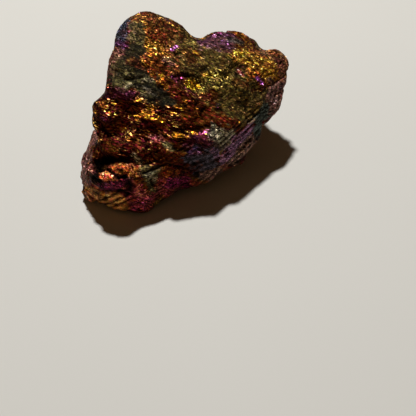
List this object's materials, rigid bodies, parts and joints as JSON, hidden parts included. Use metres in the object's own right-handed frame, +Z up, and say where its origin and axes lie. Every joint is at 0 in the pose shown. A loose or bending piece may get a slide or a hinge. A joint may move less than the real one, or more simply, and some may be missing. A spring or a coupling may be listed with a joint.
{
  "type": "peacock ore",
  "caption": "Rough broken lump of peacock ore, tarnished bornite with a pyramid-like summit, a jutting shelf at its foot and an overhanging right side.",
  "frame": {"origin": "under the middle of the lump, at the height of the flat spot that it rests on", "axes": "+X along the lump's long side with the summit at -X and the overhanging end at +X, the sloping front faces -Y, +Z is up"},
  "size_m": [0.0648, 0.0564, 0.0442],
  "materials": {
    "peacock_ore": "metallic iridescent tarnish over rough broken sulphide ore, with dull grey-green patches of matrix"
  },
  "bodies": {
    "root": {"peacock_ore": "peacock_ore"}
  },
  "joints": []
}
